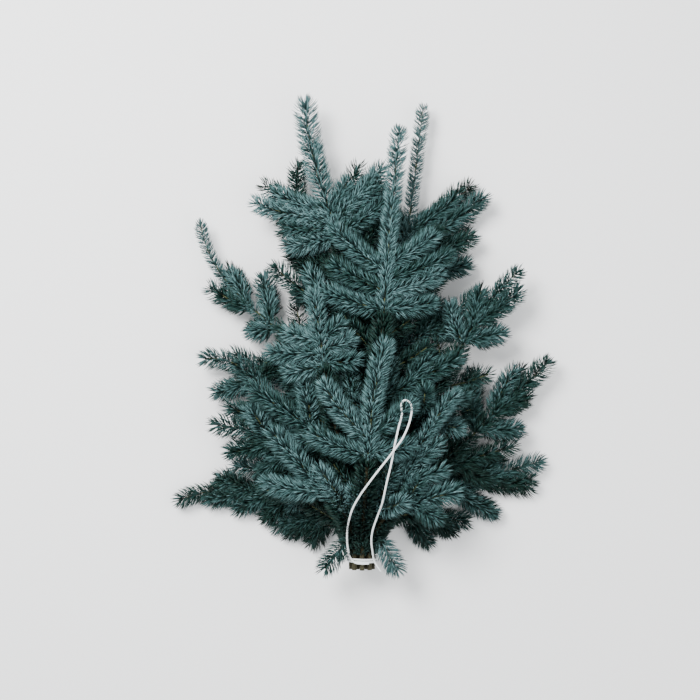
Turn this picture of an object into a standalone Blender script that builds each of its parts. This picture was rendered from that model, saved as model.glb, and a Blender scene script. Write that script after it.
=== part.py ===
"""A tied bundle of cut blue noble fir boughs, lying flat on the ground.

Metres, +Z up. The cut ends are tied together at the front and the tips point along +Y. Each bough is one
tapering limb. Its needle shoots stand in flat feathers, one at the limb's tip and others along its sides.
The boughs lie on one another, and a layer is a height in that pile.
"""

import math
import random
from collections import namedtuple

import bmesh
import bpy
from mathutils import Matrix, Vector
from mathutils.bvhtree import BVHTree
from mathutils.geometry import interpolate_bezier

# Pile: the lowest layer clears the ground by its needles, and the pile thins out towards its rim
LOWEST_LAYER = 0.019
LAYER_STEP = 0.026
RIM_SHARE = 0.62
PILE_MIDDLE = Vector((0.0, 0.25))
PILE_WIDTH = 0.22
PILE_LENGTH = 0.36

# Tie round the cut ends
TIE_HEIGHT = 0.062
TIE_HALF_LENGTH = 0.008
CENTRE_SLOTS = 1
INNER_SLOTS = 5
OUTER_SLOTS = 8
INNER_RING = 0.0091
OUTER_RING = 0.0190
BUTT_RADIUS = 0.0044
BUTT_LENGTH = 0.018
TWINE_RADIUS = 0.0017
TIE_TURNS = 2
TIE_PITCH = 0.0042
TURN_POINTS = 18

# Limbs
LIMB_TIP_RADIUS = 0.0030
LIMB_PIECES = 9
LIMB_SAMPLES = 16
LIMB_HANDLE = 0.36

# Shoots: a slim core, and spikes that each stand for a tuft of needles
TRACE_STEP = 0.004
SPIKE_PITCH = 0.020
CORE_RADIUS = 0.0046
CORE_TIP_RADIUS = 0.0026
FOOT_RADIUS = 0.0024
CORE_SIDES = 4
CORE_TWIST = math.radians(45.0)
TUFT_LENGTH = 0.019
TUFT_OUTWARD = 0.80
TUFT_FORWARD = 0.62
TUFT_UPWARD = 0.22
UNDER_SHARE = 0.55
TUFT_JITTER = 0.12
TIP_POINT = 0.011
PULLED_IN = 0.0004
PULL_ROUNDS = 4

# Side shoots: wide apart at a feather's foot, closer to its line at the top
SPREAD_CLOSING = 28.0
SPREAD_JITTER = 5.0
SIDE_CURL = 16.0
SIDE_RISE = 0.045
FEATHER_RISE = 0.090

# Room between neighbours
TOUCH_GAP = 0.0003
SEAT_GAP = 0.0006
CORE_ROOM = 0.0125
TUFT_ROOM = 0.0008
LIFTS = (0.0, 0.35, -0.35, 0.7, -0.7, 1.05, -1.05)

MERGE_WITHIN = 0.00002

LOOP_STEP = 0.011

BUNDLE = "noble_fir_bundle"
SEED = 7

# A bough: its slot in the tie, its reach and heading from the tie, and the layer of its tip.
# A feather: its place along the limb, heading, bearing length, leader length, girth and turn, spread of
# the lowest side shoots, lengths of the left and the right side shoots from foot to top, and layer.
# Headings are degrees from +Y, positive towards +X. A limb ends in the heading of its tip feather.
Bough = namedtuple("Bough", "name slot reach heading layer feathers")
Feather = namedtuple("Feather", "part at heading axis leader girth turn spread left right layer")

BOUGHS = (
    Bough("crown_left", 0, 0.564, -4, 2.4, (
        Feather("tip", 1.00, -20, 0.055, 0.190, 1.1, 18, 84,
                (0.090, 0.090, 0.140, 0.105), (0.090, 0.110, 0.125, 0.060), 2.6),
        Feather("back", 0.82, -38, 0.070, 0.190, 0.9, 48, 64, (0.090, 0.080), (0.080,), 1.4),
        Feather("side", 0.70, -52, 0.090, 0.095, 1.0, 0, 60, (0.070,), (0.085, 0.070), 2.9),
    )),
    Bough("centre", 4, 0.425, 5, 4.0, (
        Feather("tip", 1.00, 4, 0.100, 0.225, 0.85, 3, 84, (0.107, 0.100, 0.118), (0.084, 0.100, 0.117, 0.096), 4.0),
        Feather("right", 0.66, 62, 0.080, 0.080, 1.0, 0, 58, (0.060, 0.065), (0.060,), 3.3),
        Feather("left", 0.60, -56, 0.055, 0.070, 1.0, -10, 55, (0.060,), (0.090,), 3.0),
    )),
    Bough("crown_right", 2, 0.486, 8, 1.2, (
        Feather("tip", 1.00, 8, 0.105, 0.212, 0.65, -2, 76,
                (0.095, 0.120, 0.100, 0.080), (0.117, 0.128, 0.163, 0.105), 1.2),
        Feather("right", 0.75, 55, 0.090, 0.085, 1.0, 0, 60, (0.070, 0.060), (0.060, 0.075), 1.7),
    )),
    Bough("upper_right", 3, 0.405, 25, 2.6, (
        Feather("tip", 1.00, 30, 0.065, 0.110, 0.8, 22, 50, (0.070, 0.065), (0.065, 0.095), 2.6),
        Feather("right", 0.62, 56, 0.050, 0.057, 1.0, 0, 55, (0.060,), (0.055,), 3.4),
    )),
    Bough("right", 6, 0.283, 42, 1.4, (
        Feather("tip", 1.00, 46, 0.080, 0.112, 1.0, 0, 50, (0.105, 0.090), (0.070, 0.060), 1.4),
        Feather("right", 0.75, 74, 0.060, 0.078, 1.0, 0, 55, (), (0.060,), 1.0),
    )),
    Bough("lower_right", 13, 0.171, 50, 0.4, (
        Feather("tip", 1.00, 72, 0.100, 0.094, 1.0, 2, 55, (0.070, 0.060), (0.085, 0.095), 0.2),
        Feather("right", 0.60, 98, 0.060, 0.060, 1.0, 0, 55, (0.050,), (0.060, 0.050), 0.0),
    )),
    Bough("outer_left", 1, 0.416, -19, 1.6, (
        Feather("tip", 1.00, -52, 0.105, 0.150, 0.6, 45, 48, (0.045, 0.085), (0.080, 0.060), 1.4),
        Feather("left", 0.66, -68, 0.100, 0.090, 1.0, 8, 55, (0.060,), (0.070,), 0.4),
    )),
    Bough("left", 12, 0.319, -29, 1.0, (
        Feather("tip", 1.00, -40, 0.070, 0.080, 1.0, -60, 95, (0.060, 0.075), (0.065,), 1.2),
        Feather("left", 0.72, -65, 0.070, 0.080, 1.0, 0, 58, (0.055,), (0.060,), 2.2),
    )),
    Bough("middle_left", 5, 0.339, -11, 4.0, (
        Feather("tip", 1.00, -8, 0.060, 0.075, 0.9, 0, 95, (0.065, 0.090, 0.060), (0.060, 0.055, 0.045), 4.1),
        Feather("left", 0.60, -56, 0.090, 0.090, 1.1, 0, 55, (0.060,), (0.090,), 3.3),
    )),
    Bough("lower_left", 10, 0.214, -31, 2.4, (
        Feather("tip", 1.00, -62, 0.070, 0.085, 1.1, -25, 70, (0.060, 0.080), (0.060, 0.065), 2.4),
        Feather("left", 0.70, -82, 0.080, 0.080, 1.0, 0, 58, (0.065, 0.060), (0.050,), 1.2),
    )),
    Bough("low_left", 11, 0.151, -46, 0.4, (
        Feather("tip", 1.00, -80, 0.110, 0.110, 0.9, -35, 50, (0.060, 0.070, 0.080), (0.060, 0.060), 0.2),
        Feather("left", 0.60, -105, 0.050, 0.050, 1.0, 0, 55, (0.055, 0.045), (0.040,), 0.0),
    )),
    Bough("bright_left", 9, 0.115, -24, 4.2, (
        Feather("tip", 1.00, -42, 0.060, 0.100, 1.1, 0, 48, (0.105,), (), 4.4),
        Feather("foot", 0.30, -142, 0.018, 0.052, 1.0, 0, 50, (), (), 3.0),
    )),
    Bough("front", 8, 0.175, 3, 5.3, (
        Feather("tip", 1.00, 4, 0.055, 0.150, 1.0, 14, 78, (0.100, 0.122), (0.074, 0.090), 5.3),
        Feather("left", 0.35, -36, 0.040, 0.075, 1.0, 0, 50, (), (0.045,), 4.6),
        Feather("right", 0.35, 26, 0.040, 0.075, 1.0, 0, 50, (), (0.055,), 4.6),
    )),
    Bough("middle_right", 7, 0.140, 28, 4.4, (
        Feather("tip", 1.00, 22, 0.060, 0.135, 0.85, 25, 55, (0.080,), (0.070, 0.060), 4.4),
        Feather("right", 0.80, 75, 0.050, 0.055, 1.1, 0, 55, (0.045,), (0.050,), 4.9),
        Feather("foot", 0.30, 150, 0.018, 0.052, 1.0, 0, 50, (), (), 3.0),
    )),
)

# White loop laid over the pile: x, y and height above the ground
LOOP_ROUTE = (
    (0.033, -0.020, 0.0800), (0.027, -0.011, 0.0820), (0.021, 0.000, 0.0828), (0.018, 0.018, 0.0950),
    (0.016, 0.036, 0.1050), (0.018, 0.055, 0.1150), (0.025, 0.078, 0.1280), (0.034, 0.105, 0.1450),
    (0.041, 0.140, 0.1610), (0.049, 0.175, 0.1710), (0.054, 0.203, 0.1740), (0.061, 0.235, 0.1720),
    (0.067, 0.258, 0.1680), (0.066, 0.273, 0.1630), (0.070, 0.281, 0.1600), (0.077, 0.281, 0.1600),
    (0.084, 0.270, 0.1640), (0.080, 0.246, 0.1710), (0.070, 0.222, 0.1760), (0.058, 0.204, 0.1785),
    (0.040, 0.180, 0.1760), (0.018, 0.152, 0.1750), (-0.004, 0.120, 0.1600), (-0.018, 0.092, 0.1400),
    (-0.025, 0.062, 0.1200), (-0.026, 0.036, 0.1050), (-0.024, 0.018, 0.0950), (-0.021, 0.006, 0.0860),
    (-0.013, -0.003, 0.0886), (0.000, -0.005, 0.0915), (0.012, -0.005, 0.0889),
)


def clear_scene():
    for obj in list(bpy.data.objects):
        bpy.data.objects.remove(obj, do_unlink=True)


def material(name, colour, roughness):
    made = bpy.data.materials.new(name)
    made.use_nodes = True
    shader = made.node_tree.nodes["Principled BSDF"]
    shader.inputs["Base Color"].default_value = (*colour, 1.0)
    shader.inputs["Roughness"].default_value = roughness
    shader.inputs["Metallic"].default_value = 0.0
    return made


def flat_heading(degrees):
    angle = math.radians(degrees)
    return Vector((math.sin(angle), math.cos(angle), 0.0))


def ease(share):
    share = min(1.0, max(0.0, share))
    return share * share * (3.0 - 2.0 * share)


def mix(low, high, share):
    return low + (high - low) * share


def pile_height(x, y, layer):
    """Height of a layer above the ground at a place in the pile."""
    across = (x - PILE_MIDDLE.x) / PILE_WIDTH
    along = (y - PILE_MIDDLE.y) / PILE_LENGTH
    fullness = mix(RIM_SHARE, 1.0, math.exp(-across * across - along * along))
    return LOWEST_LAYER + layer * LAYER_STEP * fullness


def slot_place(slot):
    """Centre of a cut end inside the tie: one in the middle, a ring round it, and an outer ring."""
    if slot < CENTRE_SLOTS:
        return Vector((0.0, 0.0, TIE_HEIGHT))
    slot -= CENTRE_SLOTS
    if slot < INNER_SLOTS:
        angle = math.radians(-126.0 + slot * 360.0 / INNER_SLOTS)
        return Vector((math.cos(angle), 0.0, math.sin(angle))) * INNER_RING + Vector((0.0, 0.0, TIE_HEIGHT))
    angle = math.radians((slot - INNER_SLOTS) * 360.0 / OUTER_SLOTS)
    return Vector((math.cos(angle), 0.0, math.sin(angle))) * OUTER_RING + Vector((0.0, 0.0, TIE_HEIGHT))


def limb_trace(bough):
    """Points along a limb from the tie to its tip, close together."""
    foot = slot_place(bough.slot) + Vector((0.0, TIE_HALF_LENGTH, 0.0))
    end = flat_heading(bough.heading) * bough.reach
    handle = bough.reach * LIMB_HANDLE
    after_foot = foot + flat_heading(0.0) * handle
    before_end = end - flat_heading(bough.feathers[0].heading) * handle
    end.z = pile_height(end.x, end.y, bough.layer)
    count = max(6, round(bough.reach / TRACE_STEP))
    curve = interpolate_bezier(foot, after_foot, before_end, end, count + 1)
    for step, point in enumerate(curve):
        point.z = mix(foot.z, end.z, ease(step / count))
    return spaced(spaced(curve, LIMB_PIECES), LIMB_PIECES * LIMB_SAMPLES)


def shoot_trace(start, heading, length, turn, layer, rise):
    """Points along a shoot that bends as it grows and settles into its layer."""
    count = max(4, round(length / TRACE_STEP))
    step_length = length / count
    points = [start.copy()]
    x, y = start.x, start.y
    for step in range(count):
        angle = math.radians(heading + turn * ((step + 0.5) / count) ** 2)
        x += math.sin(angle) * step_length
        y += math.cos(angle) * step_length
        settled = ease((step + 1) * step_length / rise)
        points.append(Vector((x, y, mix(start.z, pile_height(x, y, layer), settled))))
    return points


def along(points, share):
    """The point at a share of a trace, and the trace's heading there in degrees."""
    place = min(max(share, 0.0), 1.0) * (len(points) - 1)
    index = min(int(place), len(points) - 2)
    before, after = points[index], points[index + 1]
    direction = after - before
    return before.lerp(after, place - index), math.degrees(math.atan2(direction.x, direction.y))


def limb_radius(share):
    return mix(BUTT_RADIUS, LIMB_TIP_RADIUS, share)


def feather_foot(limb, feather):
    """Where a feather's twig starts: past the limb's tip, or beside the limb, clear by the touch gap."""
    point, limb_heading = along(limb, feather.at)
    away = math.radians(feather.heading)
    if feather.at >= 1.0:
        last = (limb[-1] - limb[-2]).normalized()
        return point + last * (SEAT_GAP + FOOT_RADIUS * abs(math.sin(away - math.radians(limb_heading))))
    across = math.radians(limb_heading + (90.0 if feather.heading > limb_heading else -90.0))
    lean = abs(math.sin(away - across))
    offset = limb_radius(feather.at) + SEAT_GAP + FOOT_RADIUS * lean
    return point + Vector((math.sin(across), math.cos(across), 0.0)) * offset


def side_shoots(name, axis, feather):
    """Start, heading, length and turn of each side shoot, from the feather's foot to its top."""
    axis_share = feather.axis / (feather.axis + feather.leader)
    for side, lengths in ((-1, feather.left), (1, feather.right)):
        for index, length in enumerate(lengths):
            draw = random.Random("%s %d %d %d" % (name, side, index, SEED))
            station = (index + 0.5 + 0.12 * side) / len(lengths)
            point, heading = along(axis, station * axis_share)
            closing = SPREAD_CLOSING * index / max(1, len(lengths) - 1)
            spread = feather.spread - closing + draw.uniform(-SPREAD_JITTER, SPREAD_JITTER)
            yield point, heading + side * spread, length, -side * SIDE_CURL


def is_clear(points, placed, own):
    """Whether a shoot's line keeps its room from every line that was placed before it."""
    outer = points[3:]
    for owner, others in placed:
        if owner == own:
            continue
        for other in others:
            if min((point - other).length_squared for point in outer) < CORE_ROOM ** 2:
                return False
    return True


def grow(boughs):
    """The line of every limb and of every shoot of every feather, each shoot in a layer that has room."""
    limbs = {bough.name: limb_trace(bough) for bough in boughs}
    placed = [(name, points) for name, points in limbs.items()]
    feathers = {}
    for bough in boughs:
        for feather in bough.feathers:
            name = "%s_%s" % (bough.name, feather.part)
            foot = feather_foot(limbs[bough.name], feather)
            total = feather.axis + feather.leader
            leader = shoot_trace(foot, feather.heading, total, feather.turn, feather.layer, FEATHER_RISE)
            shoots = [leader]
            for point, heading, length, turn in side_shoots(name, leader, feather):
                for lift in LIFTS:
                    layer = max(0.0, feather.layer + lift)
                    points = shoot_trace(point, heading, length, turn, layer, SIDE_RISE)
                    if is_clear(points, placed, name):
                        shoots.append(points)
                        break
            feathers[name] = shoots
            placed.extend((name, points) for points in shoots)
    return limbs, feathers


def spaced(points, count):
    """The ends of a trace and the points between them that part it into even pieces."""
    return [along(points, step / count)[0] for step in range(count + 1)]


def trace_length(points):
    return sum((second - first).length for first, second in zip(points, points[1:]))


def tube(name, points, radii, sides, twist=0.0, closed=False):
    """A round tube along points, as a mesh with its end caps welded on."""
    curve = bpy.data.curves.new(name, "CURVE")
    curve.dimensions = "3D"
    curve.twist_mode = "Z_UP"
    curve.bevel_depth = 1.0
    curve.bevel_resolution = (sides - 4) // 2
    curve.resolution_u = 1
    curve.use_fill_caps = not closed
    spline = curve.splines.new("POLY")
    spline.points.add(len(points) - 1)
    spline.use_cyclic_u = closed
    for index, (target, point, radius) in enumerate(zip(spline.points, points, radii)):
        target.co = (*point, 1.0)
        target.radius = radius
        target.tilt = twist * index
    holder = bpy.data.objects.new(name, curve)
    bpy.context.scene.collection.objects.link(holder)
    evaluated = holder.evaluated_get(bpy.context.evaluated_depsgraph_get())
    mesh = bpy.data.meshes.new_from_object(evaluated)
    bpy.data.objects.remove(holder, do_unlink=True)
    bpy.data.curves.remove(curve)
    shape = bmesh.new()
    shape.from_mesh(mesh)
    bmesh.ops.remove_doubles(shape, verts=shape.verts, dist=1e-6)
    bpy.data.meshes.remove(mesh)
    return shape


def ring_numbers(shape, points):
    """The ring of the tube that each of its corners belongs to."""
    rings = {}
    for vert in shape.verts:
        rings[vert] = min(range(len(points)), key=lambda number: (vert.co - points[number]).length_squared)
    return rings


def raise_tufts(shape, points, girth, draw):
    """A spike on each side face past the bare foot, and a point on the tip; returns where each one stands."""
    rings = ring_numbers(shape, points)
    last = len(points) - 1
    sides = []
    tip_faces = []
    for face in shape.faces:
        numbers = {rings[vert] for vert in face.verts}
        if numbers == {last}:
            tip_faces.append(face)
        elif len(numbers) == 2 and min(numbers) > 0:
            sides.append(face)
    bmesh.ops.dissolve_faces(shape, faces=tip_faces)
    tip = [face for face in shape.faces if {rings[vert] for vert in face.verts} == {last}]
    spikes = {}
    for vert in bmesh.ops.poke(shape, faces=sides + tip)["verts"]:
        place = vert.co.copy()
        near = min(range(last + 1), key=lambda number: (place - points[number]).length_squared)
        forward = (points[min(near + 1, last)] - points[max(near - 1, 0)]).normalized()
        if (place - points[last]).length < CORE_TIP_RADIUS * 0.5:
            spikes[vert] = place
            vert.co = place + forward * TIP_POINT
            continue
        outward = place - points[near]
        outward = (outward - forward * outward.dot(forward)).normalized()
        reach = TUFT_LENGTH * girth * draw.uniform(1.0 - TUFT_JITTER, 1.0 + TUFT_JITTER)
        if outward.z < -0.3:
            reach *= UNDER_SHARE
        lean = outward * TUFT_OUTWARD + forward * TUFT_FORWARD + Vector((0.0, 0.0, TUFT_UPWARD))
        spikes[vert] = place + outward * PULLED_IN
        vert.co = place + lean.normalized() * reach
    return spikes


def make_room(shape, spikes, finished, siblings):
    """Pulls in each spike that meets a finished node or a sibling; tells whether the core has room too."""
    for _ in range(PULL_ROUNDS):
        shape.faces.ensure_lookup_table()
        tree = BVHTree.FromBMesh(shape)
        meeting = {own for other in finished for own, _ in tree.overlap(other)}
        crossing = {own for other in siblings for own, _ in tree.overlap(other)}
        corners = {vert for index in meeting | crossing for vert in shape.faces[index].verts}
        near = {
            vert for vert in spikes
            if any(other.find_nearest(vert.co, TUFT_ROOM)[0] is not None for other in finished)
        }
        pulled = [vert for vert in corners | near if vert in spikes and vert.co != spikes[vert]]
        if not pulled:
            return not meeting
        for vert in pulled:
            vert.co = spikes[vert]
    return False


def tufted_shoot(name, points, girth, finished, siblings):
    """One needle shoot as a closed mesh, or nothing where its core has no room."""
    last = max(2, round(trace_length(points) / SPIKE_PITCH))
    rings = spaced(points, last)
    radii = [mix(CORE_RADIUS, CORE_TIP_RADIUS, number / last) * girth for number in range(last + 1)]
    radii[0] = FOOT_RADIUS
    shape = tube(name, rings, radii, CORE_SIDES, CORE_TWIST)
    spikes = raise_tufts(shape, rings, girth, random.Random("%s tufts %d" % (name, SEED)))
    if not make_room(shape, spikes, finished, siblings):
        shape.free()
        return None
    return shape


def object_from(name, shape, finish):
    """A named object in the bundle's collection, from a mesh under construction."""
    bmesh.ops.triangulate(shape, faces=shape.faces)
    bmesh.ops.recalc_face_normals(shape, faces=shape.faces)
    mesh = bpy.data.meshes.new(name)
    shape.to_mesh(mesh)
    shape.free()
    mesh.materials.append(finish)
    made = bpy.data.objects.new(name, mesh)
    bpy.data.collections[BUNDLE].objects.link(made)
    return made


def islands(shape):
    """The loose pieces of a mesh, as lists of their corners."""
    unseen = set(shape.verts)
    found = []
    while unseen:
        queue = [unseen.pop()]
        island = list(queue)
        while queue:
            for edge in queue.pop().link_edges:
                for vert in edge.verts:
                    if vert in unseen:
                        unseen.remove(vert)
                        queue.append(vert)
                        island.append(vert)
        found.append(island)
    return found


def fused(name, shapes, solver):
    """One body from shapes that overlap: loose scraps are dropped and closed hollows are filled."""
    if len(shapes) == 1:
        return shapes[0].copy()
    collection = bpy.data.collections.new(name + " shoots")
    bpy.context.scene.collection.children.link(collection)
    members = []
    for shape in shapes:
        mesh = bpy.data.meshes.new(name)
        shape.to_mesh(mesh)
        member = bpy.data.objects.new(name, mesh)
        members.append(member)
    bpy.context.scene.collection.objects.link(members[0])
    for member in members[1:]:
        collection.objects.link(member)
    union = members[0].modifiers.new("union", "BOOLEAN")
    union.operation = "UNION"
    union.operand_type = "COLLECTION"
    union.collection = collection
    union.solver = solver
    evaluated = members[0].evaluated_get(bpy.context.evaluated_depsgraph_get())
    mesh = bpy.data.meshes.new_from_object(evaluated)
    for member in members:
        data = member.data
        bpy.data.objects.remove(member, do_unlink=True)
        bpy.data.meshes.remove(data)
    bpy.data.collections.remove(collection)
    body = bmesh.new()
    body.from_mesh(mesh)
    bpy.data.meshes.remove(mesh)
    bmesh.ops.triangulate(body, faces=body.faces)
    bmesh.ops.remove_doubles(body, verts=body.verts, dist=MERGE_WITHIN)
    bmesh.ops.dissolve_degenerate(body, edges=body.edges, dist=MERGE_WITHIN)
    pieces = sorted(islands(body), key=len)
    for scrap in pieces[:-1]:
        bmesh.ops.delete(body, geom=scrap, context="VERTS")
    return body


def is_closed(body):
    return all(len(edge.link_faces) == 2 for edge in body.edges)


def build_limb(bough, trace, bark):
    """A bough's limb: a tapering round stem, cut square at the tie end."""
    foot = slot_place(bough.slot)
    points = [foot - Vector((0.0, BUTT_LENGTH, 0.0))] + spaced(trace, LIMB_PIECES)
    last = len(points) - 1
    radii = [BUTT_RADIUS] + [limb_radius(number / (last - 1)) for number in range(last)]
    return object_from("bough_" + bough.name, tube(bough.name, points, radii, 8), bark)


def build_feather(name, shoots, girth, finished, needles):
    """A feather's leader and side shoots, fused where the side shoots spring from the leader."""
    shapes = []
    for number, points in enumerate(shoots):
        siblings = [BVHTree.FromBMesh(shape) for shape in shapes]
        shape = tufted_shoot(
            "%s %d" % (name, number), points, girth if number == 0 else 1.0, finished, siblings
        )
        if shape:
            shapes.append(shape)
    for solver in ("EXACT", "MANIFOLD"):
        body = fused(name, shapes, solver)
        if is_closed(body):
            break
    for shape in shapes:
        shape.free()
    return object_from("foliage_" + name, body, needles)


def build_tie(twine):
    """Turns of twine wound round the cut ends."""
    radius = OUTER_RING + BUTT_RADIUS + TOUCH_GAP + TWINE_RADIUS
    count = TIE_TURNS * TURN_POINTS
    points = []
    for step in range(count + 1):
        angle = math.radians(360.0 * step / TURN_POINTS)
        y = TIE_PITCH * (step / TURN_POINTS - TIE_TURNS / 2)
        points.append(Vector((math.cos(angle) * radius, y, TIE_HEIGHT + math.sin(angle) * radius)))
    return object_from("tie", tube("tie", points, [TWINE_RADIUS] * len(points), 6), twine)


def build_loop(twine):
    """The twine's long loose loop, laid over the pile from the tie and back to it."""
    points = smooth_route([Vector(place) for place in LOOP_ROUTE], LOOP_STEP)
    return object_from("loop", tube("loop", points, [TWINE_RADIUS] * len(points), 6), twine)


def smooth_route(places, step):
    """Points about a step apart on a smooth curve through the places."""
    dense = []
    padded = [2 * places[0] - places[1]] + places + [2 * places[-1] - places[-2]]
    for index in range(1, len(padded) - 2):
        before, start, end, after = padded[index - 1:index + 3]
        for part in range(8):
            t = part / 8
            dense.append(0.5 * (
                2 * start + (end - before) * t + (2 * before - 5 * start + 4 * end - after) * t * t
                + (3 * start - before - 3 * end + after) * t * t * t
            ))
    dense.append(places[-1])
    lengths = [0.0]
    for first, second in zip(dense, dense[1:]):
        lengths.append(lengths[-1] + (second - first).length)
    count = round(lengths[-1] / step)
    points = []
    index = 0
    for number in range(count + 1):
        target = lengths[-1] * number / count
        while index < len(dense) - 2 and lengths[index + 1] < target:
            index += 1
        share = (target - lengths[index]) / (lengths[index + 1] - lengths[index])
        points.append(dense[index].lerp(dense[index + 1], min(1.0, share)))
    return points


def tree_of(made):
    shape = bmesh.new()
    shape.from_mesh(made.data)
    tree = BVHTree.FromBMesh(shape)
    shape.free()
    return tree


def stand_on_origin(objects):
    """Moves the bundle so that the middle of its box's underside is the origin."""
    corners = [vert.co for made in objects for vert in made.data.vertices]
    low = Vector([min(corner[axis] for corner in corners) for axis in range(3)])
    high = Vector([max(corner[axis] for corner in corners) for axis in range(3)])
    shift = Vector((-(low.x + high.x) / 2, -(low.y + high.y) / 2, -low.z))
    for made in objects:
        made.data.transform(Matrix.Translation(shift))


def main():
    clear_scene()
    bundle = bpy.data.collections.new(BUNDLE)
    bpy.context.scene.collection.children.link(bundle)
    bark = material("bark", (0.16, 0.12, 0.07), 0.85)
    needles = material("needles", (0.12, 0.24, 0.24), 0.60)
    twine = material("twine", (0.86, 0.86, 0.83), 0.80)
    limbs, feathers = grow(BOUGHS)
    built = [build_limb(bough, limbs[bough.name], bark) for bough in BOUGHS]
    built.append(build_tie(twine))
    built.append(build_loop(twine))
    finished = [tree_of(made) for made in built]
    for bough in BOUGHS:
        for feather in bough.feathers:
            name = "%s_%s" % (bough.name, feather.part)
            made = build_feather(name, feathers[name], feather.girth, finished, needles)
            built.append(made)
            finished.append(tree_of(made))
    stand_on_origin(built)


if __name__ == "__main__":
    main()
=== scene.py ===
"""Looks of a tied bundle of cut blue noble fir boughs, lying flat on the ground and seen from above.

The rule that draws the boughs and their shoots is the one that the solids follow. Here it also draws the
shoots under and between them, and clothes every shoot and limb in single needles.
"""

import math
import random
from collections import namedtuple

import bpy
import numpy as np
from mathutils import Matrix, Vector
from mathutils.geometry import interpolate_bezier


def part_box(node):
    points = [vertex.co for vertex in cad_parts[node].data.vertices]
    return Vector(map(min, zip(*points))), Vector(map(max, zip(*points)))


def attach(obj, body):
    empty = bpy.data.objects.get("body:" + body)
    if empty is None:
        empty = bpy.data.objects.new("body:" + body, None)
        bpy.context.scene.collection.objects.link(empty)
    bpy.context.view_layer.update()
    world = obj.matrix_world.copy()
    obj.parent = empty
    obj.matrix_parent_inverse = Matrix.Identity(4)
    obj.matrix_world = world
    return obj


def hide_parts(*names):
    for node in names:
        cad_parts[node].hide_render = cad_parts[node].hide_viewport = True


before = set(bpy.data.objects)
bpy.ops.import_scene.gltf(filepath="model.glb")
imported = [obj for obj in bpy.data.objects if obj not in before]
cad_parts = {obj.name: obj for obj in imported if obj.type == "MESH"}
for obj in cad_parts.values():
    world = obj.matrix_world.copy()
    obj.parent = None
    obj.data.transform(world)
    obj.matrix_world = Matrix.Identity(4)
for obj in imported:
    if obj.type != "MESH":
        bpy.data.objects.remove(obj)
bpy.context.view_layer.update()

# Pile: a layer is a height in it, and the pile thins out towards its rim
LOWEST_LAYER = 0.019
LAYER_STEP = 0.026
RIM_SHARE = 0.62
PILE_MIDDLE = Vector((0.0, 0.25))
PILE_WIDTH = 0.22
PILE_LENGTH = 0.36

# Tie round the cut ends: one is in the middle, and the others are in two rings
TIE_HEIGHT = 0.062
TIE_HALF_LENGTH = 0.008
CENTRE_SLOTS = 1
INNER_SLOTS = 5
OUTER_SLOTS = 8
INNER_RING = 0.0091
OUTER_RING = 0.0190
INNER_START = -126.0
BUTT_RADIUS = 0.0044
BUTT_LENGTH = 0.018
TWINE_RADIUS = 0.0017
TIE_TURNS = 2
TIE_PITCH = 0.0042
TIE_STEPS = 144
TOUCH_GAP = 0.0003

# Limbs
LIMB_TIP_RADIUS = 0.0030
LIMB_PIECES = 9
LIMB_SAMPLES = 16
LIMB_HANDLE = 0.36
LIMB_FEWEST_STEPS = 6
TRACE_STEP = 0.004

# Feathers: a leader with side shoots, each in a layer where it keeps its room
FOOT_RADIUS = 0.0024
SEAT_GAP = 0.0006
FEATHER_RISE = 0.090
STATION_STAGGER = 0.12
SPREAD_CLOSING = 28.0
SPREAD_JITTER = 5.0
SIDE_CURL = 16.0
SIDE_RISE = 0.045
SHOOT_FEWEST_STEPS = 4
LIFTS = (0.0, 0.35, -0.35, 0.7, -0.7, 1.05, -1.05)
CORE_ROOM = 0.0125
ROOM_STARTS_AT = 3

# Every random draw is seeded by this and by the name of what it is for
SEED = 7

# Two layers of shoots under and between a feather's own: shares of their length, and how far down and darker
# they are; the darkening is painted shade from the shoots above, together with their older, greener needles
UNDER_SHARES = (0.88, 1.04)
UNDER_DROPS = (0.50, 1.10)
UNDER_SHADE_AND_AGE_TONES = (1.2, 1.9)

# Dark shoots along each limb, under the feathers; their dark tone is painted shade from the feathers above,
# together with older, greener needles
FILL_START = 0.055
FILL_PITCH = 0.030
FILL_SPREAD = 52.0
FILL_SPREAD_JITTER = 8.0
FILL_LENGTH = 0.095
FILL_LENGTH_SHARES = (0.75, 1.1)
FILL_DROP = 0.012
FILL_SHADE_AND_AGE_TONE = 3.0
FILL_TONE_JITTER = 0.5

# Needles on the limbs themselves
CLADDING_TONE = 3.0
CLADDING_GIRTH = 0.98
CLADDING_CORE_AT = 0.3

# Needles for each metre of a feather's own shoots, and the shares of it on sparser and denser ones
NEEDLES_PER_METRE = 3200
SPARSE = 0.50
DENSE = 1.35

# Size of a needle on a shoot with a girth of 1
NEEDLE_LENGTH = 0.0265
NEEDLE_LENGTH_SHARES = (0.88, 1.08)
NEEDLE_WIDTH = 0.0019
NEEDLE_THICKNESS = 0.0012
SLIM_ALLOWANCE = 0.15
TONE_SPREAD = 0.55

# Needles stand up to this many degrees from straight up, and lean out from their shoot by these degrees
NEEDLE_SPREAD = 118.0
SIDE_LEAN = 54.0
TIP_LEAN = 24.0
LEAN_JITTER = 4.0

# A needle bends from more lean at its foot to less at its point, in radians, and sweeps up
FOOT_BEND = 0.25
POINT_BEND = 0.15
UPSWEEP = 0.22

# The last and first stretches of a shoot, where the needles get shorter, down to these shares
TIP_STRETCH = 0.013
TIP_SHARE = 0.80
FOOT_STRETCH = 0.012
FOOT_SHARE = 0.35

# Needles start this far from the middle of a twig, and stay this far above the ground
CORE = 0.0010
GROUND_ROOM = 0.0008
NEEDLE_STEP = 0.002

# Most triangles in a piece
PIECE_LIMIT = 190000

# A needle's three-sided sections: share of its length and of its width; its point comes after them
SECTION_PLACES = (0.0, 0.62)
SECTION_WIDTHS = (0.60, 1.0)
NEEDLE_CORNERS = 7
NEEDLE_FACES = np.array((
    (0, 1, 2),
    (0, 3, 1), (1, 3, 4), (1, 4, 2), (2, 4, 5), (2, 5, 0), (0, 5, 3),
    (3, 6, 4), (4, 6, 5), (5, 6, 3),
))

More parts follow.
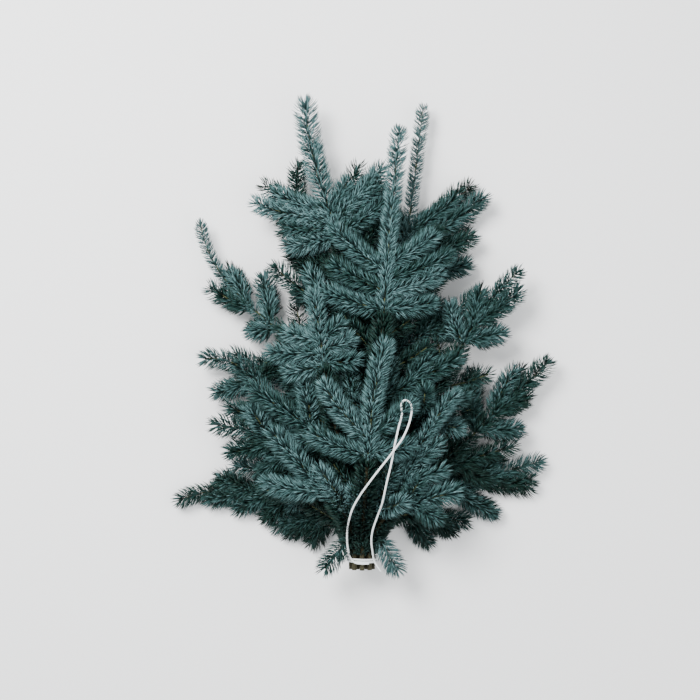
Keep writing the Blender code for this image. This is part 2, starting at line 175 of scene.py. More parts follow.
# Twigs inside the needles
TWIG_RADIUS = 0.0017
TWIG_TIP_RADIUS = 0.0009
TWIG_STEP = 0.010
TWIG_SIDES = 6

# Bark: its relief is in shares of the limb's radius, and a ridge starts turned by up to RIDGE_TURN radians
LIMB_SIDES = 14
LIMB_SHARE = 0.97
BARK_STEP = 0.0035
BARK_LEVEL = 0.97
BARK_GRAIN = 0.020
RIDGES = 3
RIDGE_HEIGHT = 0.035
RIDGE_TURN = 6.28
SCAR_LIMIT = 0.93
SCAR_HEIGHT = 0.10

# String: three strands twisted together, one turn in each STRAND_TURN of it
STRANDS = 3
STRAND_DEPTH = 0.20
STRAND_TURN = 0.011
STRING_SIDES = 15
STRING_STEP = 0.0010
STRING_SHARE = 1.02
ROUTE_SAMPLES = 8

# Finishes: the noise turns from the darker to the lighter colour between these two levels
DARK_LEVEL = 0.30
LIGHT_LEVEL = 0.70
NOISE_DETAIL = 3.0
GRAIN_SCALE = 900.0
GRAIN_DETAIL = 4.0
GRAIN_DEPTH = 0.0004

# Camera: the picture is 700 pixels wide, and a pixel is 1.75 mm at the middle of the pile
PICTURE_WIDTH = 1.225
PICTURE_MIDDLE = Vector((-0.021, 0.3675, 0.080))
LENS = 85.0
SENSOR = 36.0

# Studio: each light has a name, its place from the picture's middle, its power and its width
FLOOR_REACH = 6.0
SKY_COLOUR = (0.95, 0.98, 1.0, 1.0)
SKY_STRENGTH = 1.05
LIGHTS = (
    ("key", (-1.1, 1.2, 2.2), 150.0, 1.2),
    ("fill", (1.6, -0.8, 2.4), 30.0, 2.0),
)

UP = np.array((0.0, 0.0, 1.0))
SHORTEST = 1e-9

Bough = namedtuple("Bough", "name slot reach heading layer feathers")
Feather = namedtuple("Feather", "part at heading axis leader girth turn spread left right layer")
Shoot = namedtuple("Shoot", "name points girth tone density core")

BOUGHS = (
    Bough("crown_left", 0, 0.564, -4, 2.4, (
        Feather("tip", 1.00, -20, 0.055, 0.190, 1.1, 18, 84,
                (0.090, 0.090, 0.140, 0.105), (0.090, 0.110, 0.125, 0.060), 2.6),
        Feather("back", 0.82, -38, 0.070, 0.190, 0.9, 48, 64, (0.090, 0.080), (0.080,), 1.4),
        Feather("side", 0.70, -52, 0.090, 0.095, 1.0, 0, 60, (0.070,), (0.085, 0.070), 2.9),
    )),
    Bough("centre", 4, 0.425, 5, 4.0, (
        Feather("tip", 1.00, 4, 0.100, 0.225, 0.85, 3, 84,
                (0.107, 0.100, 0.118), (0.084, 0.100, 0.117, 0.096), 4.0),
        Feather("right", 0.66, 62, 0.080, 0.080, 1.0, 0, 58, (0.060, 0.065), (0.060,), 3.3),
        Feather("left", 0.60, -56, 0.055, 0.070, 1.0, -10, 55, (0.060,), (0.090,), 3.0),
    )),
    Bough("crown_right", 2, 0.486, 8, 1.2, (
        Feather("tip", 1.00, 8, 0.105, 0.212, 0.65, -2, 76,
                (0.095, 0.120, 0.100, 0.080), (0.117, 0.128, 0.163, 0.105), 1.2),
        Feather("right", 0.75, 55, 0.090, 0.085, 1.0, 0, 60, (0.070, 0.060), (0.060, 0.075), 1.7),
    )),
    Bough("upper_right", 3, 0.405, 25, 2.6, (
        Feather("tip", 1.00, 30, 0.065, 0.110, 0.8, 22, 50, (0.070, 0.065), (0.065, 0.095), 2.6),
        Feather("right", 0.62, 56, 0.050, 0.057, 1.0, 0, 55, (0.060,), (0.055,), 3.4),
    )),
    Bough("right", 6, 0.283, 42, 1.4, (
        Feather("tip", 1.00, 46, 0.080, 0.112, 1.0, 0, 50, (0.105, 0.090), (0.070, 0.060), 1.4),
        Feather("right", 0.75, 74, 0.060, 0.078, 1.0, 0, 55, (), (0.060,), 1.0),
    )),
    Bough("lower_right", 13, 0.171, 50, 0.4, (
        Feather("tip", 1.00, 72, 0.100, 0.094, 1.0, 2, 55, (0.070, 0.060), (0.085, 0.095), 0.2),
        Feather("right", 0.60, 98, 0.060, 0.060, 1.0, 0, 55, (0.050,), (0.060, 0.050), 0.0),
    )),
    Bough("outer_left", 1, 0.416, -19, 1.6, (
        Feather("tip", 1.00, -52, 0.105, 0.150, 0.6, 45, 48, (0.045, 0.085), (0.080, 0.060), 1.4),
        Feather("left", 0.66, -68, 0.100, 0.090, 1.0, 8, 55, (0.060,), (0.070,), 0.4),
    )),
    Bough("left", 12, 0.319, -29, 1.0, (
        Feather("tip", 1.00, -40, 0.070, 0.080, 1.0, -60, 95, (0.060, 0.075), (0.065,), 1.2),
        Feather("left", 0.72, -65, 0.070, 0.080, 1.0, 0, 58, (0.055,), (0.060,), 2.2),
    )),
    Bough("middle_left", 5, 0.339, -11, 4.0, (
        Feather("tip", 1.00, -8, 0.060, 0.075, 0.9, 0, 95,
                (0.065, 0.090, 0.060), (0.060, 0.055, 0.045), 4.1),
        Feather("left", 0.60, -56, 0.090, 0.090, 1.1, 0, 55, (0.060,), (0.090,), 3.3),
    )),
    Bough("lower_left", 10, 0.214, -31, 2.4, (
        Feather("tip", 1.00, -62, 0.070, 0.085, 1.1, -25, 70, (0.060, 0.080), (0.060, 0.065), 2.4),
        Feather("left", 0.70, -82, 0.080, 0.080, 1.0, 0, 58, (0.065, 0.060), (0.050,), 1.2),
    )),
    Bough("low_left", 11, 0.151, -46, 0.4, (
        Feather("tip", 1.00, -80, 0.110, 0.110, 0.9, -35, 50, (0.060, 0.070, 0.080), (0.060, 0.060), 0.2),
        Feather("left", 0.60, -105, 0.050, 0.050, 1.0, 0, 55, (0.055, 0.045), (0.040,), 0.0),
    )),
    Bough("bright_left", 9, 0.115, -24, 4.2, (
        Feather("tip", 1.00, -42, 0.060, 0.100, 1.1, 0, 48, (0.105,), (), 4.4),
        Feather("foot", 0.30, -142, 0.018, 0.052, 1.0, 0, 50, (), (), 3.0),
    )),
    Bough("front", 8, 0.175, 3, 5.3, (
        Feather("tip", 1.00, 4, 0.055, 0.150, 1.0, 14, 78, (0.100, 0.122), (0.074, 0.090), 5.3),
        Feather("left", 0.35, -36, 0.040, 0.075, 1.0, 0, 50, (), (0.045,), 4.6),
        Feather("right", 0.35, 26, 0.040, 0.075, 1.0, 0, 50, (), (0.055,), 4.6),
    )),
    Bough("middle_right", 7, 0.140, 28, 4.4, (
        Feather("tip", 1.00, 22, 0.060, 0.135, 0.85, 25, 55, (0.080,), (0.070, 0.060), 4.4),
        Feather("right", 0.80, 75, 0.050, 0.055, 1.1, 0, 55, (0.045,), (0.050,), 4.9),
        Feather("foot", 0.30, 150, 0.018, 0.052, 1.0, 0, 50, (), (), 3.0),
    )),
)

# White loop laid over the pile: x, y and height above the ground
LOOP_ROUTE = (
    (0.033, -0.020, 0.0800), (0.027, -0.011, 0.0820), (0.021, 0.000, 0.0828), (0.018, 0.018, 0.0950),
    (0.016, 0.036, 0.1050), (0.018, 0.055, 0.1150), (0.025, 0.078, 0.1280), (0.034, 0.105, 0.1450),
    (0.041, 0.140, 0.1610), (0.049, 0.175, 0.1710), (0.054, 0.203, 0.1740), (0.061, 0.235, 0.1720),
    (0.067, 0.258, 0.1680), (0.066, 0.273, 0.1630), (0.070, 0.281, 0.1600), (0.077, 0.281, 0.1600),
    (0.084, 0.270, 0.1640), (0.080, 0.246, 0.1710), (0.070, 0.222, 0.1760), (0.058, 0.204, 0.1785),
    (0.040, 0.180, 0.1760), (0.018, 0.152, 0.1750), (-0.004, 0.120, 0.1600), (-0.018, 0.092, 0.1400),
    (-0.025, 0.062, 0.1200), (-0.026, 0.036, 0.1050), (-0.024, 0.018, 0.0950), (-0.021, 0.006, 0.0860),
    (-0.013, -0.003, 0.0886), (0.000, -0.005, 0.0915), (0.012, -0.005, 0.0889),
)

# Needle colours from pale bloom to the green-black of the oldest needles; a tone is a place in this list,
# and the darkest places also serve as painted shade on the shoots that lie under others
NEEDLE_TONES = (
    ("needle_pale", (0.118, 0.215, 0.220)),
    ("needle_blue", (0.054, 0.118, 0.118)),
    ("needle_teal", (0.019, 0.055, 0.050)),
    ("needle_green", (0.007, 0.028, 0.021)),
    ("needle_deep", (0.002, 0.011, 0.008)),
)

# Tones of the feathers that show best; any other is darker the lower it lies: painted shade on the lower
# layers, together with their older, greener needles
FEATHER_TONES = {
    "crown_left_tip": 1.1, "crown_left_back": 2.6, "crown_right_tip": 1.6, "centre_tip": 1.2,
    "outer_left_tip": 1.7, "bright_left_tip": 0.5, "front_tip": 0.8, "middle_left_tip": 0.9,
    "middle_right_tip": 1.2, "right_right": 2.8, "lower_right_tip": 2.0, "lower_right_right": 2.6,
}
LOW_TONE = 2.3
HIGH_TONE = 1.0
HIGH_LAYER = 5.0
SHOOT_TONE_SPAN = (-0.8, 0.7)

# Where the rule's own origin, the ground under the middle of the tie, lies in the frame
tie_low, tie_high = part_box("tie")
SHIFT = (Vector(tie_low) + Vector(tie_high)) / 2 - Vector((0.0, 0.0, TIE_HEIGHT))


def flat_heading(degrees):
    angle = math.radians(degrees)
    return Vector((math.sin(angle), math.cos(angle), 0.0))


def ease(share):
    share = min(1.0, max(0.0, share))
    return share * share * (3.0 - 2.0 * share)


def mix(low, high, share):
    return low + (high - low) * share


def pile_height(x, y, layer):
    """Height of a layer above the ground at a place in the pile."""
    across = (x - PILE_MIDDLE.x) / PILE_WIDTH
    along_pile = (y - PILE_MIDDLE.y) / PILE_LENGTH
    fullness = mix(RIM_SHARE, 1.0, math.exp(-across * across - along_pile * along_pile))
    return LOWEST_LAYER + layer * LAYER_STEP * fullness


def slot_place(slot):
    """Centre of a cut end inside the tie: one in the middle, a ring round it, and an outer ring."""
    middle = Vector((0.0, 0.0, TIE_HEIGHT))
    if slot < CENTRE_SLOTS:
        return middle
    slot -= CENTRE_SLOTS
    if slot < INNER_SLOTS:
        ring = INNER_RING
        angle = math.radians(INNER_START + slot * 360.0 / INNER_SLOTS)
    else:
        ring = OUTER_RING
        angle = math.radians((slot - INNER_SLOTS) * 360.0 / OUTER_SLOTS)
    return Vector((math.cos(angle), 0.0, math.sin(angle))) * ring + middle


def along(points, share):
    """The point at a share of a trace, and the trace's heading there in degrees."""
    place = min(max(share, 0.0), 1.0) * (len(points) - 1)
    index = min(int(place), len(points) - 2)
    before, after = points[index], points[index + 1]
    direction = after - before
    return before.lerp(after, place - index), math.degrees(math.atan2(direction.x, direction.y))


def spaced(points, count):
    """The ends of a trace and the points between them that part it into even pieces."""
    return [along(points, step / count)[0] for step in range(count + 1)]


def trace_length(points):
    return sum((second - first).length for first, second in zip(points, points[1:]))


def limb_trace(bough):
    """Points along a limb from the tie to its tip, close together."""
    foot = slot_place(bough.slot) + Vector((0.0, TIE_HALF_LENGTH, 0.0))
    end = flat_heading(bough.heading) * bough.reach
    handle = bough.reach * LIMB_HANDLE
    after_foot = foot + flat_heading(0.0) * handle
    before_end = end - flat_heading(bough.feathers[0].heading) * handle
    end.z = pile_height(end.x, end.y, bough.layer)
    count = max(LIMB_FEWEST_STEPS, round(bough.reach / TRACE_STEP))
    curve = interpolate_bezier(foot, after_foot, before_end, end, count + 1)
    for step, point in enumerate(curve):
        point.z = mix(foot.z, end.z, ease(step / count))
    return spaced(spaced(curve, LIMB_PIECES), LIMB_PIECES * LIMB_SAMPLES)


def shoot_trace(start, heading, length, turn, layer, rise):
    """Points along a shoot that bends as it grows and settles into its layer."""
    count = max(SHOOT_FEWEST_STEPS, round(length / TRACE_STEP))
    step_length = length / count
    points = [start.copy()]
    x, y = start.x, start.y
    for step in range(count):
        angle = math.radians(heading + turn * ((step + 0.5) / count) ** 2)
        x += math.sin(angle) * step_length
        y += math.cos(angle) * step_length
        settled = ease((step + 1) * step_length / rise)
        points.append(Vector((x, y, mix(start.z, pile_height(x, y, layer), settled))))
    return points


def limb_radius(share):
    return mix(BUTT_RADIUS, LIMB_TIP_RADIUS, share)


def feather_foot(limb, feather):
    """Where a feather's twig starts: past the limb's tip or beside the limb, and clear of it."""
    point, limb_heading = along(limb, feather.at)
    away = math.radians(feather.heading)
    if feather.at >= 1.0:
        last = (limb[-1] - limb[-2]).normalized()
        return point + last * (SEAT_GAP + FOOT_RADIUS * abs(math.sin(away - math.radians(limb_heading))))
    across = math.radians(limb_heading + (90.0 if feather.heading > limb_heading else -90.0))
    lean = abs(math.sin(away - across))
    offset = limb_radius(feather.at) + SEAT_GAP + FOOT_RADIUS * lean
    return point + Vector((math.sin(across), math.cos(across), 0.0)) * offset


def side_shoots(name, axis, feather):
    """Start, heading, length and turn of each side shoot, from the feather's foot to its top."""
    axis_share = feather.axis / (feather.axis + feather.leader)
    for side, lengths in ((-1, feather.left), (1, feather.right)):
        for index, length in enumerate(lengths):
            draw = random.Random("%s %d %d %d" % (name, side, index, SEED))
            station = (index + 0.5 + STATION_STAGGER * side) / len(lengths)
            point, heading = along(axis, station * axis_share)
            closing = SPREAD_CLOSING * index / max(1, len(lengths) - 1)
            spread = feather.spread - closing + draw.uniform(-SPREAD_JITTER, SPREAD_JITTER)
            yield point, heading + side * spread, length, -side * SIDE_CURL


def is_clear(points, placed, own):
    """Whether a shoot's line, past its foot, keeps its room from each line of another owner."""
    outer = points[ROOM_STARTS_AT:]
    for owner, others in placed:
        if owner == own:
            continue
        for other in others:
            if min((point - other).length_squared for point in outer) < CORE_ROOM ** 2:
                return False
    return True


def grow(boughs):
    """The line of every limb and of every shoot of every feather, each shoot in a layer that has room."""
    limbs = {bough.name: limb_trace(bough) for bough in boughs}
    placed = [(name, points) for name, points in limbs.items()]
    feathers = {}
    for bough in boughs:
        for feather in bough.feathers:
            name = "%s_%s" % (bough.name, feather.part)
            foot = feather_foot(limbs[bough.name], feather)
            total = feather.axis + feather.leader
            leader = shoot_trace(foot, feather.heading, total, feather.turn, feather.layer, FEATHER_RISE)
            shoots = [leader]
            for point, heading, length, turn in side_shoots(name, leader, feather):
                for lift in LIFTS:
                    layer = max(0.0, feather.layer + lift)
                    points = shoot_trace(point, heading, length, turn, layer, SIDE_RISE)
                    if is_clear(points, placed, name):
                        shoots.append(points)
                        break
            feathers[name] = shoots
            placed.extend((name, points) for points in shoots)
    return limbs, feathers


def between(lengths):
    """Lengths of the shoots under a row of side shoots: its first, and then one between each two."""
    pairs = [(first + second) / 2 for first, second in zip(lengths, lengths[1:])]
    return lengths[:1] + tuple(pairs)


def under_shoots(name, leader, feather):
    """The lines of the shoots that fill a feather from below, and how much darker each is: painted shade
    under the feather, with older, greener needles.
    """
    under = feather._replace(left=between(feather.left), right=between(feather.right))
    for share, drop, darker in zip(UNDER_SHARES, UNDER_DROPS, UNDER_SHADE_AND_AGE_TONES):
        layer = max(0.0, feather.layer - drop)
        for point, heading, length, turn in side_shoots("%s under %g" % (name, drop), leader, under):
            yield shoot_trace(point, heading, length * share, turn, layer, SIDE_RISE), darker


def fill_shoots(bough, limb):
    """The darker shoots that spring from a limb, on its two sides in turn; their darkness is painted shade
    from the feathers above, with older, greener needles.
    """
    length = trace_length(limb)
    for number in range(int((length - FILL_START) / FILL_PITCH)):
        draw = random.Random("%s fill %d %d" % (bough.name, number, SEED))
        point, heading = along(limb, (FILL_START + number * FILL_PITCH) / length)
        side = 1 if number % 2 else -1
        reach = FILL_LENGTH * draw.uniform(*FILL_LENGTH_SHARES)
        turned = heading + side * (FILL_SPREAD + draw.uniform(-FILL_SPREAD_JITTER, FILL_SPREAD_JITTER))
        trace = shoot_trace(point, turned, reach, -side * SIDE_CURL, 0.0, SIDE_RISE)
        for place in trace:
            place.z = max(LOWEST_LAYER, point.z - FILL_DROP)
        trace[0].z = point.z
        # Painted shade under the feathers, with older, greener needles, sets this dark tone
        tone = FILL_SHADE_AND_AGE_TONE + draw.uniform(-FILL_TONE_JITTER, FILL_TONE_JITTER)
        yield Shoot("%s_fill %d" % (bough.name, number), trace, 1.0, tone, SPARSE, CORE)


def feather_shoots(name, feather, traces):
    """A feather's leader and side shoots, then the shoots under them."""
    # Lower feathers get a darker tone: painted shade, together with older, greener needles
    tone = FEATHER_TONES.get(name, mix(LOW_TONE, HIGH_TONE, feather.layer / HIGH_LAYER))
    for number, points in enumerate(traces):
        draw = random.Random("%s tone %d %d" % (name, number, SEED))
        girth = feather.girth if number == 0 else 1.0
        own_tone = tone + draw.uniform(*SHOOT_TONE_SPAN)
        yield Shoot("%s %d" % (name, number), points, girth, own_tone, 1.0, CORE)
    # The shoots under them are darker: painted shade, with older, greener needles
    for number, (points, darker) in enumerate(under_shoots(name, traces[0], feather)):
        yield Shoot("%s under %d" % (name, number), points, 1.0, tone + darker, SPARSE, CORE)


def bough_shoots(bough, limb, feathers):
    """Every shoot of a bough."""
    found = []
    for feather in bough.feathers:
        name = "%s_%s" % (bough.name, feather.part)
        found.extend(feather_shoots(name, feather, feathers[name]))
    found.extend(fill_shoots(bough, limb))
    return found


def cladding(bough, limb):
    """A limb's line as a shoot, for the needles that it carries itself."""
    core = limb_radius(CLADDING_CORE_AT)
    return Shoot(bough.name + " limb", limb, CLADDING_GIRTH, CLADDING_TONE, DENSE, core)


def seeded(words):
    return np.random.default_rng(random.Random("%s %d" % (words, SEED)).getrandbits(32))


def resampled(points, step):
    """Places at even steps along a trace, and each one's distance from its start."""
    line = np.array([tuple(point) for point in points])
    lengths = np.concatenate(([0.0], np.cumsum(np.linalg.norm(np.diff(line, axis=0), axis=1))))
    at = np.linspace(0.0, lengths[-1], max(2, int(round(lengths[-1] / step))) + 1)
    return read_at(at, lengths, line), at


def read_at(stations, at, table):
    """The rows of a table at stations between those that it was made at."""
    return np.stack([np.interp(stations, at, table[:, axis]) for axis in range(3)], axis=1)


def unit(vectors):
    return vectors / np.maximum(np.linalg.norm(vectors, axis=1, keepdims=True), SHORTEST)


def sections(places):
    """Three directions at each place on a line: ahead, level to its right, and up across it."""
    forward = unit(np.gradient(places, axis=0))
    right = unit(np.cross(forward, UP))
    return forward, right, np.cross(right, forward)


def tube_arrays(places, radii, sides, relief=1.0):
    """Corners and triangles of a tube with closed ends, and how many triangles its wall has.

    The relief multiplies the radius at each corner.
    """
    right, up = sections(places)[1:]
    angles = np.linspace(0.0, 2.0 * math.pi, sides, endpoint=False)[None, :, None]
    ring = right[:, None, :] * np.cos(angles) + up[:, None, :] * np.sin(angles)
    count = len(places)
    reach = radii[:, None] * (np.ones((count, sides)) * relief)
    corners = (places[:, None, :] + ring * reach[:, :, None]).reshape(-1, 3)
    index = np.arange(count * sides).reshape(count, sides)
    a, b = index[:-1], np.roll(index[:-1], -1, axis=1)
    c, d = index[1:], np.roll(index[1:], -1, axis=1)
    walls = np.concatenate([np.stack(corner, axis=2).reshape(-1, 3) for corner in ((a, b, c), (b, d, c))])
    fan = np.arange(1, sides - 1)
    first = np.stack((np.zeros_like(fan), fan + 1, fan), axis=1)
    last = np.stack((np.zeros_like(fan), fan, fan + 1), axis=1) + (count - 1) * sides
    return corners, np.concatenate((walls, first, last)), len(walls)


def needle_lines(shoot, rng):
    """Foot, middle and point of each needle of a shoot, and the way that it stands out of its twig."""
    places, at = resampled(shoot.points, NEEDLE_STEP)
    length = at[-1]
    count = int(length * NEEDLES_PER_METRE * shoot.density)
    stations = np.sort(rng.uniform(0.0, 1.0, count)) * length
    origin = read_at(stations, at, places)
    ahead, across, above = [unit(read_at(stations, at, way)) for way in sections(places)]
    # They stand on the twig's top and sides, and none straight below it
    angle = np.radians(rng.uniform(-NEEDLE_SPREAD, NEEDLE_SPREAD, count))
    outward = across * np.sin(angle)[:, None] + above * np.cos(angle)[:, None]
    # They lean further forward at the shoot's tip, and are shorter there and at its foot
    tip_share = np.clip((length - stations) / TIP_STRETCH, 0.0, 1.0)
    foot_share = np.clip(stations / FOOT_STRETCH, FOOT_SHARE, 1.0)
    reach = NEEDLE_LENGTH * shoot.girth * rng.uniform(*NEEDLE_LENGTH_SHARES, count)
    reach = reach * mix(TIP_SHARE, 1.0, tip_share) * foot_share
    lean = np.radians(mix(TIP_LEAN, SIDE_LEAN, tip_share) + rng.normal(0.0, LEAN_JITTER, count))
    foot_lean = lean + FOOT_BEND
    point_lean = lean - POINT_BEND
    foot_way = unit(outward * np.sin(foot_lean)[:, None] + ahead * np.cos(foot_lean)[:, None])
    point_way = outward * np.sin(point_lean)[:, None] + ahead * np.cos(point_lean)[:, None]
    foot = origin + outward * shoot.core
    middle = foot + foot_way * (reach * 0.5)[:, None]
    point = middle + unit(point_way + UP * UPSWEEP) * (reach * 0.5)[:, None]
    return foot, middle, point, outward


def needle_arrays(shoot):
    """Corners, triangles and tones of all the needles of a shoot."""
    rng = seeded(shoot.name + " needles")
    foot, middle, point, outward = needle_lines(shoot, rng)
    count = len(foot)
    flat = unit(np.cross(point - foot, outward))
    normal = unit(np.cross(flat, point - foot))
    slim = min(1.0, shoot.girth + SLIM_ALLOWANCE)
    corners = np.empty((count, NEEDLE_CORNERS, 3))
    for number, (place, width) in enumerate(zip(SECTION_PLACES, SECTION_WIDTHS)):
        centre = foot * (1 - place) ** 2 + middle * (2 * place * (1 - place)) + point * place ** 2
        half = NEEDLE_WIDTH * 0.5 * width * slim
        thick = NEEDLE_THICKNESS * width * slim
        corners[:, number * 3] = centre - flat * half
        corners[:, number * 3 + 1] = centre + flat * half
        corners[:, number * 3 + 2] = centre + normal * thick
    corners[:, -1] = point
    corners += np.array(SHIFT)
    corners[:, :, 2] = np.maximum(corners[:, :, 2], GROUND_ROOM)
    faces = NEEDLE_FACES[None, :, :] + (np.arange(count) * NEEDLE_CORNERS)[:, None, None]
    tones = np.clip(np.rint(shoot.tone + rng.normal(0.0, TONE_SPREAD, count)), 0, len(NEEDLE_TONES) - 1)
    return corners.reshape(-1, 3), faces.reshape(-1, 3), np.repeat(tones, len(NEEDLE_FACES))


def twig_arrays(shoot):
    """A shoot's own twig, which tapers to its tip."""
    places, at = resampled(shoot.points, TWIG_STEP)
    radii = mix(TWIG_RADIUS, TWIG_TIP_RADIUS, at / at[-1])
    corners, faces, _ = tube_arrays(places, radii, TWIG_SIDES)
    return corners + np.array(SHIFT), faces, np.zeros(len(faces))


def limb_arrays(bough, limb):
    """A limb with low ridges and scars in its bark; its end faces are numbered 1 for the cut wood."""
    rng = seeded(bough.name + " bark")
    foot = slot_place(bough.slot) - Vector((0.0, BUTT_LENGTH, 0.0))
    places, at = resampled([foot] + limb, BARK_STEP)
    radii = mix(BUTT_RADIUS, LIMB_TIP_RADIUS, at / at[-1]) * LIMB_SHARE
    grid = (len(places), LIMB_SIDES)
    rough = rng.normal(0.0, BARK_GRAIN, grid)
    turns = np.arange(LIMB_SIDES) * 2.0 * math.pi * RIDGES / LIMB_SIDES
    ridges = RIDGE_HEIGHT * np.cos(turns + rng.uniform(0, RIDGE_TURN))
    scars = (rng.uniform(0.0, 1.0, grid) > SCAR_LIMIT) * SCAR_HEIGHT
    relief = BARK_LEVEL + rough + ridges[None, :] + scars
    corners, faces, walls = tube_arrays(places, radii, LIMB_SIDES, relief)
    numbers = np.zeros(len(faces))
    numbers[walls:] = 1
    return corners + np.array(SHIFT), faces, numbers


def smooth_route(places):
    """Points on a smooth curve through the places."""
    dense = []
    padded = [2 * places[0] - places[1]] + places + [2 * places[-1] - places[-2]]
    for before, start, end, after in zip(padded, padded[1:], padded[2:], padded[3:]):
        for part in range(ROUTE_SAMPLES):
            t = part / ROUTE_SAMPLES
            dense.append(0.5 * (
                2 * start + (end - before) * t + (2 * before - 5 * start + 4 * end - after) * t * t
                + (3 * start - before - 3 * end + after) * t * t * t
            ))
    dense.append(places[-1])
    return dense


def tie_route():
    """Points along the string's turns round the cut ends."""
    radius = OUTER_RING + BUTT_RADIUS + TOUCH_GAP + TWINE_RADIUS
    points = []
    for step in range(TIE_TURNS * TIE_STEPS + 1):
        angle = math.radians(360.0 * step / TIE_STEPS)
        y = TIE_PITCH * (step / TIE_STEPS - TIE_TURNS / 2)
        points.append(Vector((math.cos(angle) * radius, y, TIE_HEIGHT + math.sin(angle) * radius)))
    return points


def string_arrays(points):
    """A twisted string along a line: the strands show as lobes that turn round it."""
    places, at = resampled(points, STRING_STEP)
    angles = np.linspace(0.0, 2.0 * math.pi, STRING_SIDES, endpoint=False)
    turn = at[:, None] * 2.0 * math.pi / STRAND_TURN
    lobes = np.abs(np.cos(STRANDS * 0.5 * (angles[None, :] - turn)))
    relief = 1.0 - STRAND_DEPTH * (1.0 - lobes)
    radii = np.full(len(places), TWINE_RADIUS * STRING_SHARE)
    corners, faces, _ = tube_arrays(places, radii, STRING_SIDES, relief)
    return corners + np.array(SHIFT), faces


def joined(parts):
    """One set of corners, triangles and numbers from several."""
    corners, faces, numbers = [], [], []
    offset = 0
    for part_corners, part_faces, part_numbers in parts:
        corners.append(part_corners)
        faces.append(part_faces + offset)
        numbers.append(part_numbers)
        offset += len(part_corners)
    return np.concatenate(corners), np.concatenate(faces), np.concatenate(numbers)


def mesh_object(name, points, faces, finishes, numbers=None, smooth=True):
    """An object from numpy points and triangles; the numbers give each triangle its finish."""
    mesh = bpy.data.meshes.new(name)
    mesh.vertices.add(len(points))
    mesh.vertices.foreach_set("co", points.astype(np.float32).ravel())
    mesh.loops.add(faces.size)
    mesh.loops.foreach_set("vertex_index", faces.astype(np.int32).ravel())
    mesh.polygons.add(len(faces))
    mesh.polygons.foreach_set("loop_start", np.arange(0, faces.size, faces.shape[1], dtype=np.int32))
    for finish in finishes:
        mesh.materials.append(finish)
    if numbers is not None:
        mesh.polygons.foreach_set("material_index", numbers.astype(np.int32))
    mesh.polygons.foreach_set("use_smooth", np.full(len(faces), smooth))
    mesh.update(calc_edges=True)
    mesh.validate()
    made = bpy.data.objects.new(name, mesh)
    bpy.context.scene.collection.objects.link(made)
    return made


def surface(name, colour, roughness, variation=0.0, scale=200.0, bump=0.0, gloss=0.3):
    """A procedural finish whose colour varies softly over the surface; a bump gives it a fine grain."""
    made = bpy.data.materials.new(name)
    made.use_nodes = True
    nodes, links = made.node_tree.nodes, made.node_tree.links
    shader = nodes["Principled BSDF"]
    shader.inputs["Roughness"].default_value = roughness
    shader.inputs["Specular IOR Level"].default_value = gloss
    where = nodes.new("ShaderNodeTexCoord")
    noise = nodes.new("ShaderNodeTexNoise")
    noise.inputs["Scale"].default_value = scale
    noise.inputs["Detail"].default_value = NOISE_DETAIL
    ramp = nodes.new("ShaderNodeValToRGB")
    dark, light = ramp.color_ramp.elements
    dark.position = DARK_LEVEL
    light.position = LIGHT_LEVEL
    dark.color = (*[channel * (1.0 - variation) for channel in colour], 1.0)
    light.color = (*[min(1.0, channel * (1.0 + variation)) for channel in colour], 1.0)
    links.new(where.outputs["Object"], noise.inputs["Vector"])
    links.new(noise.outputs["Fac"], ramp.inputs["Fac"])
    links.new(ramp.outputs["Color"], shader.inputs["Base Color"])
    if bump:
        grain = nodes.new("ShaderNodeTexNoise")
        grain.inputs["Scale"].default_value = GRAIN_SCALE
        grain.inputs["Detail"].default_value = GRAIN_DETAIL
        height = nodes.new("ShaderNodeBump")
        height.inputs["Strength"].default_value = bump
        height.inputs["Distance"].default_value = GRAIN_DEPTH
        links.new(where.outputs["Object"], grain.inputs["Vector"])
        links.new(grain.outputs["Fac"], height.inputs["Height"])
        links.new(height.outputs["Normal"], shader.inputs["Normal"])
    return made


def needle_groups(shoots, limbs):
    """The needles of neighbouring boughs, with the boughs, in groups under the limit of a piece."""
    groups = []
    held = PIECE_LIMIT
    for bough in BOUGHS:
        clad = shoots[bough.name] + [cladding(bough, limbs[bough.name])]
        arrays = [needle_arrays(shoot) for shoot in clad]
        added = sum(len(faces) for _, faces, _ in arrays)
        if held + added > PIECE_LIMIT:
            groups.append(([], []))
            held = 0
        groups[-1][0].extend(arrays)
        groups[-1][1].append(bough)
        held += added
    return groups


def add_light(name, place, target, power, width):
    """A square soft light that faces the target."""
    lamp = bpy.data.lights.new(name, "AREA")
    lamp.energy = power
    lamp.size = width
    holder = bpy.data.objects.new(name, lamp)
    holder.location = place
    holder.rotation_euler = (target - place).to_track_quat("-Z", "Y").to_euler()
    bpy.context.scene.collection.objects.link(holder)


limbs, feathers = grow(BOUGHS)
shoots = {bough.name: bough_shoots(bough, limbs[bough.name], feathers) for bough in BOUGHS}

# Needles, a few boughs to a piece
needle_finishes = [
    surface(name, colour, roughness=0.55, variation=0.20, scale=160.0, gloss=0.2)
    for name, colour in NEEDLE_TONES
]
for number, (arrays, grouped) in enumerate(needle_groups(shoots, limbs)):
    corners, faces, numbers = joined(arrays)
    needles = mesh_object("needles_%d" % number, corners, faces, needle_finishes, numbers)
    names = [(bough.name, feather.part) for bough in grouped for feather in bough.feathers]
    nodes = ["foliage_%s_%s" % name for name in names]
    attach(needles, "root")
    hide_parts(*nodes)
    print(needles.name, len(faces), "triangles")

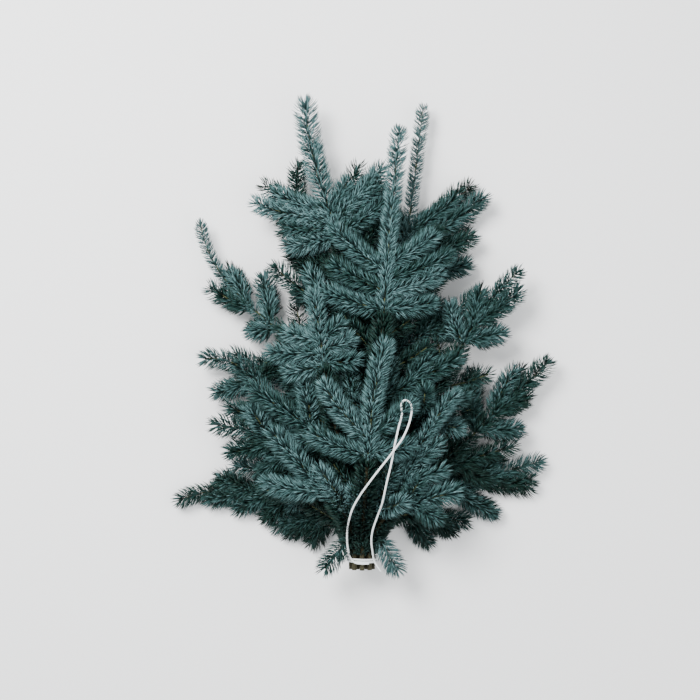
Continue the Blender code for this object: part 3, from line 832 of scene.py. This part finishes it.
# Twigs inside the needles
twig_finish = surface(
    "young_bark", (0.085, 0.095, 0.035), roughness=0.8, variation=0.3, scale=300.0, bump=0.4
)
corners, faces, _ = joined([twig_arrays(shoot) for bough in BOUGHS for shoot in shoots[bough.name]])
twigs = mesh_object("twigs", corners, faces, [twig_finish])
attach(twigs, "root")

# Limbs
bark_finish = surface(
    "bark", (0.040, 0.036, 0.018), roughness=0.85, variation=0.35, scale=250.0, bump=0.8
)
wood_finish = surface(
    "cut_wood", (0.560, 0.440, 0.260), roughness=0.8, variation=0.18, scale=700.0, bump=0.4
)
corners, faces, numbers = joined([limb_arrays(bough, limbs[bough.name]) for bough in BOUGHS])
stems = mesh_object("stems", corners, faces, [bark_finish, wood_finish], numbers)
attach(stems, "root")
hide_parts(*["bough_" + bough.name for bough in BOUGHS])

# String
string_finish = surface(
    "white_string", (0.860, 0.890, 0.890), roughness=0.85, variation=0.05, scale=500.0, bump=0.6
)
loop_route = smooth_route([Vector(place) for place in LOOP_ROUTE])
for name, route in (("tie", tie_route()), ("loop", loop_route)):
    corners, faces = string_arrays(route)
    string = mesh_object("string_" + name, corners, faces, [string_finish])
    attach(string, "root")
    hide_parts(name)

# Floor
floor_finish = surface("floor", (0.97, 0.97, 0.97), roughness=0.9)
corners = np.array(((-1.0, -1.0, 0.0), (1.0, -1.0, 0.0), (1.0, 1.0, 0.0), (-1.0, 1.0, 0.0))) * FLOOR_REACH
faces = np.array(((0, 1, 2), (0, 2, 3)))
floor = mesh_object("floor", corners, faces, [floor_finish], smooth=False)

# Light
world = bpy.data.worlds.new("world")
bpy.context.scene.world = world
world.use_nodes = True
sky = world.node_tree.nodes["Background"]
sky.inputs["Color"].default_value = SKY_COLOUR
sky.inputs["Strength"].default_value = SKY_STRENGTH
target = PICTURE_MIDDLE + SHIFT
for name, offset, power, width in LIGHTS:
    add_light(name, target + Vector(offset), target, power, width)

# Camera, straight above the pile
camera_data = bpy.data.cameras.new("camera")
camera_data.lens = LENS
camera_data.sensor_width = SENSOR
camera = bpy.data.objects.new("camera", camera_data)
bpy.context.scene.collection.objects.link(camera)
camera.location = target + Vector((0.0, 0.0, PICTURE_WIDTH * LENS / SENSOR))
bpy.context.scene.camera = camera
